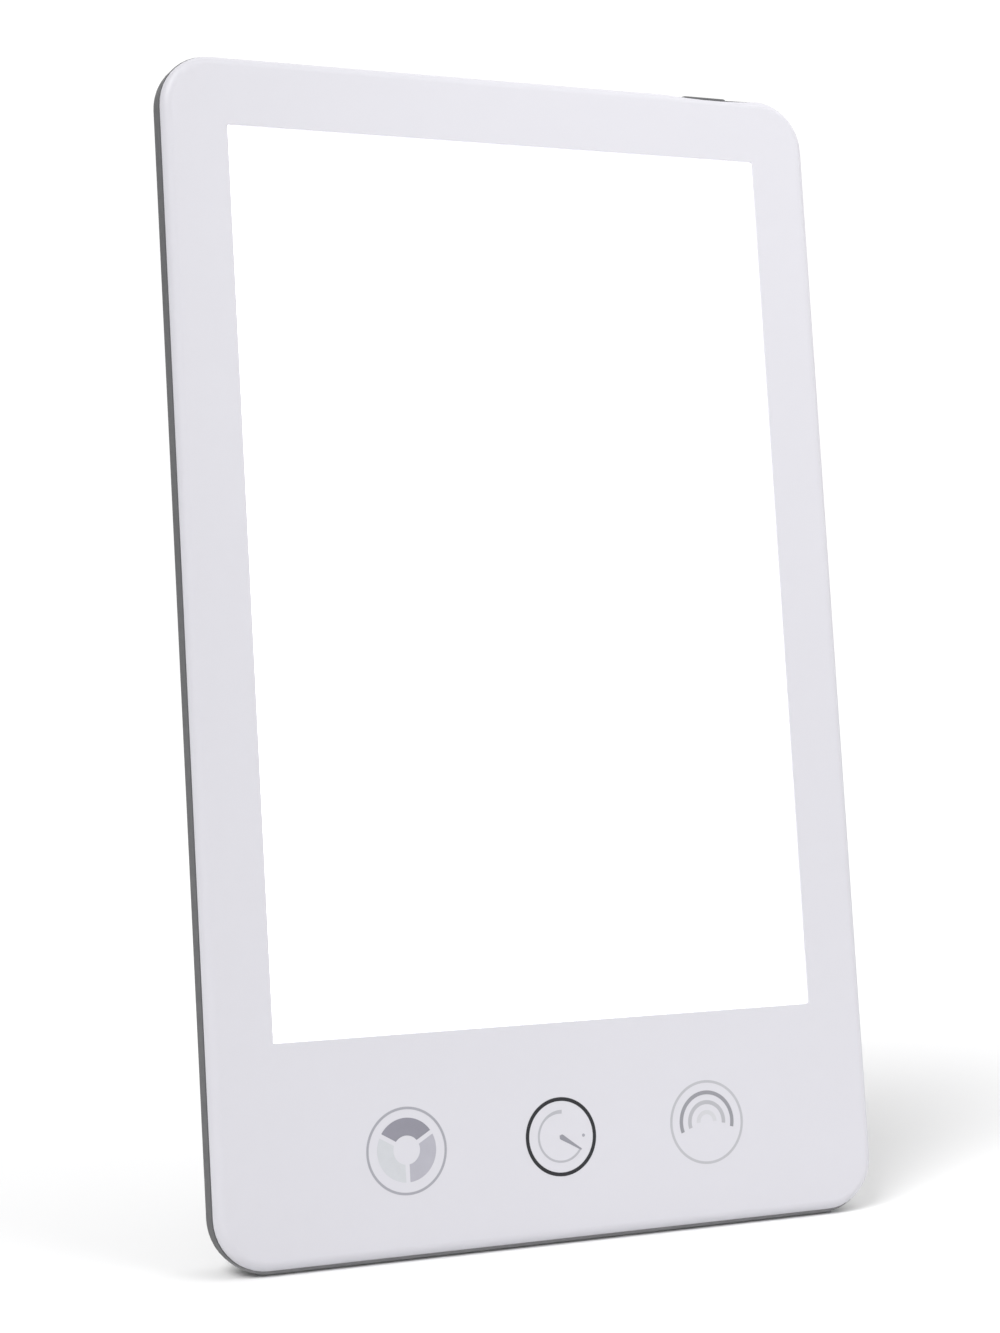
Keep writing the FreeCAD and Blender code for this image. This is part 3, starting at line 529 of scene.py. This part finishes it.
def strip(bm, outer, inner, closed, mat=0, y0=INK_TOP, y1=INK_SUNK):
    """A flat band between two lists of (x, z) points, as a closed solid."""
    n = len(outer)
    rows = []
    for pts, y in ((outer, y0), (inner, y0), (inner, y1), (outer, y1)):
        rows.append([bm.verts.new((x, y, z)) for x, z in pts])
    count = n if closed else n - 1
    for i in range(count):
        j = (i + 1) % n
        for a, b in ((0, 1), (1, 2), (2, 3), (3, 0)):
            f = bm.faces.new((rows[a][i], rows[a][j], rows[b][j], rows[b][i]))
            f.material_index = mat
    if not closed:
        for i in (0, n - 1):
            f = bm.faces.new([rows[k][i] for k in range(4)])
            f.material_index = mat


def polar(cx, cz, r, deg):
    a = math.radians(deg)
    return (cx + r * math.cos(a), cz + r * math.sin(a))


def ring(bm, cx, cz, r, stroke, mat=0, steps=160, start=0.0, end=360.0):
    """A ring or arc of middle radius r; stroke is a number or a function of the share along it."""
    closed = abs(end - start) >= 359.99
    n = steps if closed else max(12, int(steps * abs(end - start) / 360.0) + 1)
    outer, inner = [], []
    for i in range(n):
        t = i / n if closed else i / (n - 1)
        deg = start + (end - start) * t
        w = stroke(t) if callable(stroke) else stroke
        outer.append(polar(cx, cz, r + w / 2, deg))
        inner.append(polar(cx, cz, r - w / 2, deg))
    strip(bm, outer, inner, closed, mat)


def sector(bm, cx, cz, r0, r1, start, end, gap, mat=0, steps=48):
    """A piece of an annulus whose two straight ends lie parallel to the gaps' middle lines."""
    outer, inner = [], []
    for i in range(steps):
        t = i / (steps - 1)
        for pts, r in ((outer, r1), (inner, r0)):
            back = math.degrees(math.asin(min(0.99, gap / 2 / r)))
            pts.append(polar(cx, cz, r, start + back + (end - start - 2 * back) * t))
    strip(bm, outer, inner, False, mat)


LEFT_X = -34.35
MIDDLE_X = 0.3
RIGHT_X = 34.7
ICON_Z = 20.87

# left key: three shades of an annulus
bm = bmesh.new()
ring(bm, LEFT_X, ICON_Z + 0.08, 8.55, 0.52)
finish_piece("key_left_ring", bm, [ink("ink_ring_grey", srgb(153, 153, 160))])
bm = bmesh.new()
sector(bm, LEFT_X, ICON_Z + 0.24, 2.9, 6.45, 30, 150, 0.9, 0)
sector(bm, LEFT_X, ICON_Z + 0.24, 2.9, 6.45, -90, 30, 0.9, 1)
sector(bm, LEFT_X, ICON_Z + 0.24, 2.9, 6.45, 150, 270, 0.9, 2)
finish_piece("key_left_shades", bm, [
    ink("ink_shade_dark", srgb(131, 130, 140)),
    ink("ink_shade_middle", srgb(165, 164, 173)),
    ink("ink_shade_light", srgb(189, 191, 195)),
])

# middle key: black ring with a dial
bm = bmesh.new()
ring(bm, MIDDLE_X, ICON_Z, 7.69, 0.78)
finish_piece("key_middle_ring", bm, [ink("ink_black", srgb(22, 22, 28), 0.45)])
bm = bmesh.new()
ring(bm, MIDDLE_X, ICON_Z, 5.1, lambda t: 0.8 - 0.35 * min(1.0, t * 4.5), start=85, end=326, steps=200)
finish_piece("key_middle_dial", bm, [ink("ink_dial_grey", srgb(168, 168, 174))])
bm = bmesh.new()
hand = math.radians(-33.0)
d = Vector((math.cos(hand), math.sin(hand)))
q = Vector((-d.y, d.x))
base = Vector((MIDDLE_X, ICON_Z))
outer, inner = [], []
for i in range(17):
    t = i / 16
    w = 0.36 + 0.87 * (t ** 1.2) if t < 0.9 else 1.1 * math.sqrt(max(0.0, 1.0 - ((t - 0.9) / 0.1) ** 2)) + 0.05
    p = base + d * (5.4 - 5.8 * t)
    outer.append(tuple(p + q * w / 2))
    inner.append(tuple(p - q * w / 2))
strip(bm, outer, inner, False)
finish_piece("key_middle_hand", bm, [ink("ink_hand_grey", srgb(136, 136, 144))])
bm = bmesh.new()
dot_c = polar(MIDDLE_X, ICON_Z, 5.15, -1.2)
outer = [polar(*dot_c, 0.34, a) for a in range(0, 360, 15)]
inner = [polar(*dot_c, 0.02, a) for a in range(0, 360, 15)]
strip(bm, outer, inner, True)
finish_piece("key_middle_dot", bm, [MAT.setdefault("ink_dot", ink("ink_dot_grey", srgb(150, 150, 158)))])

# right key: three arcs in a ring
bm = bmesh.new()
ring(bm, RIGHT_X, ICON_Z + 0.2, 8.5, 0.55)
finish_piece("key_right_ring", bm, [ink("ink_ring_pale", srgb(173, 173, 178))])
bm = bmesh.new()
ring(bm, RIGHT_X, ICON_Z + 0.3, 6.1, 0.82, 0, start=-14, end=198)
ring(bm, RIGHT_X, ICON_Z + 0.3, 4.05, 0.85, 1, start=-8, end=196)
ring(bm, RIGHT_X, ICON_Z + 0.3, 1.95, 0.9, 2, start=-2, end=184)
finish_piece("key_right_arcs", bm, [
    ink("ink_arc_dark", srgb(138, 138, 144)),
    ink("ink_arc_middle", srgb(168, 168, 173)),
    ink("ink_arc_light", srgb(191, 191, 195)),
])

# ------------------------------------------------------- mark by the inlet
# direct current: a bar over three dashes, printed on the back above the inlet
bm = bmesh.new()


def bar(bm, x0, x1, z, width, y0, y1):
    """A flat bar with round ends."""
    outer, inner = [], []
    h = width / 2
    for i in range(9):
        a = 90.0 + 180.0 * i / 8
        outer.append(polar(x0 + h, z, h, a))
    for i in range(9):
        a = -90.0 + 180.0 * i / 8
        outer.append(polar(x1 - h, z, h, a))
    top = [bm.verts.new((x, y0, zz)) for x, zz in outer]
    low = [bm.verts.new((x, y1, zz)) for x, zz in outer]
    bm.faces.new(top)
    bm.faces.new(list(reversed(low)))
    n = len(outer)
    for i in range(n):
        j = (i + 1) % n
        bm.faces.new((top[i], low[i], low[j], top[j]))


BACK_Y = 12.7
bar(bm, 54.6, 61.4, 29.4, 0.75, BACK_Y + 0.03, BACK_Y - 0.02)
for k in range(3):
    bar(bm, 54.6 + 2.5 * k, 56.4 + 2.5 * k, 27.6, 0.75, BACK_Y + 0.03, BACK_Y - 0.02)
finish_piece("inlet_mark", bm, [ink("ink_mark_pale", srgb(176, 177, 180))])

# ------------------------------------------------------------------ the floor
bm = bmesh.new()
bmesh.ops.create_grid(bm, x_segments=8, y_segments=8, size=3.0)
me = bpy.data.meshes.new("floor")
bm.to_mesh(me)
bm.free()
floor = bpy.data.objects.new("floor", me)
scene.collection.objects.link(floor)
fm = Nodes("floor_pale")
fm.set(IOR=1.3)
fm.colour(fm.mix(fm.remap(fm.noise(fm.coord(), 2.0, 2.0, 0.5), 0.3, 0.7, 0.0, 1.0), (0.87, 0.87, 0.874), (0.884, 0.884, 0.884)))
fm.roughness(fm.remap(fm.noise(fm.coord(), 9.0, 2.0, 0.5), 0.3, 0.7, 0.75, 0.85))
me.materials.append(fm.mat)

# ------------------------------------------------------------- light and view
world = bpy.data.worlds.new("studio")
scene.world = world
world.use_nodes = True
wt = world.node_tree
wt.nodes.clear()
wo = wt.nodes.new("ShaderNodeOutputWorld")
bg = wt.nodes.new("ShaderNodeBackground")
seen = wt.nodes.new("ShaderNodeBackground")
mixer = wt.nodes.new("ShaderNodeMixShader")
path = wt.nodes.new("ShaderNodeLightPath")
bg.inputs["Color"].default_value = (1.0, 1.0, 1.0, 1.0)
bg.inputs["Strength"].default_value = 0.36
seen.inputs["Color"].default_value = (1.0, 1.0, 1.0, 1.0)
seen.inputs["Strength"].default_value = 1.05
wt.links.new(path.outputs["Is Camera Ray"], mixer.inputs[0])
wt.links.new(bg.outputs[0], mixer.inputs[1])
wt.links.new(seen.outputs[0], mixer.inputs[2])
wt.links.new(mixer.outputs[0], wo.inputs["Surface"])


def sun(name, direction, strength, angle, colour=(1.0, 1.0, 1.0)):
    """A distant soft light that shines along direction."""
    data = bpy.data.lights.new(name, "SUN")
    data.energy = strength
    data.angle = math.radians(angle)
    data.color = colour
    ob = bpy.data.objects.new(name, data)
    scene.collection.objects.link(ob)
    ob.rotation_mode = "QUATERNION"
    ob.rotation_quaternion = Vector(direction).to_track_quat("-Z", "Y")
    return ob


def soft_box(name, place, size, energy):
    """A small square light over the table, turned to the upper half of the lamp."""
    data = bpy.data.lights.new(name, "AREA")
    data.shape = "SQUARE"
    data.size = size
    data.energy = energy
    ob = bpy.data.objects.new(name, data)
    scene.collection.objects.link(ob)
    ob.location = place
    ob.rotation_mode = "QUATERNION"
    ob.rotation_quaternion = (Vector((0.0, -0.02, 0.15)) - Vector(place)).to_track_quat("-Z", "Y")
    ob.visible_camera = False
    return ob


sun("key_light", (0.6, 0.45, -0.68), 1.02, 30)
sun("key_light_high", (0.55, 0.3, -0.78), 1.24, 30)
sun("back_light", (-0.35, -0.8, -0.5), 1.197, 90)
sun("side_light", (-0.8, 0.35, -0.35), 1.248, 90)
soft_box("top_soft_box", (0.1, -0.2, 0.42), 0.2, 0.184)
soft_box("front_soft_box", (0.1, -0.25, 0.3), 0.15, 0.07)

cam_data = bpy.data.cameras.new("camera")
cam = bpy.data.objects.new("camera", cam_data)
scene.collection.objects.link(cam)
scene.camera = cam
cam_data.sensor_fit = "AUTO"
cam_data.sensor_width = 36.0
cam_data.lens = 75.515
cam_data.clip_start = 0.01
cam_data.clip_end = 30.0
cam.location = (-0.25473, -0.55392, 0.13749)
cam.rotation_mode = "QUATERNION"
cam.rotation_quaternion = Vector((0.4243, 0.9050, -0.03197)).to_track_quat("-Z", "Y")

scene.view_settings.view_transform = "Standard"
scene.view_settings.look = "None"
scene.view_settings.exposure = 0.0
scene.view_settings.gamma = 1.0
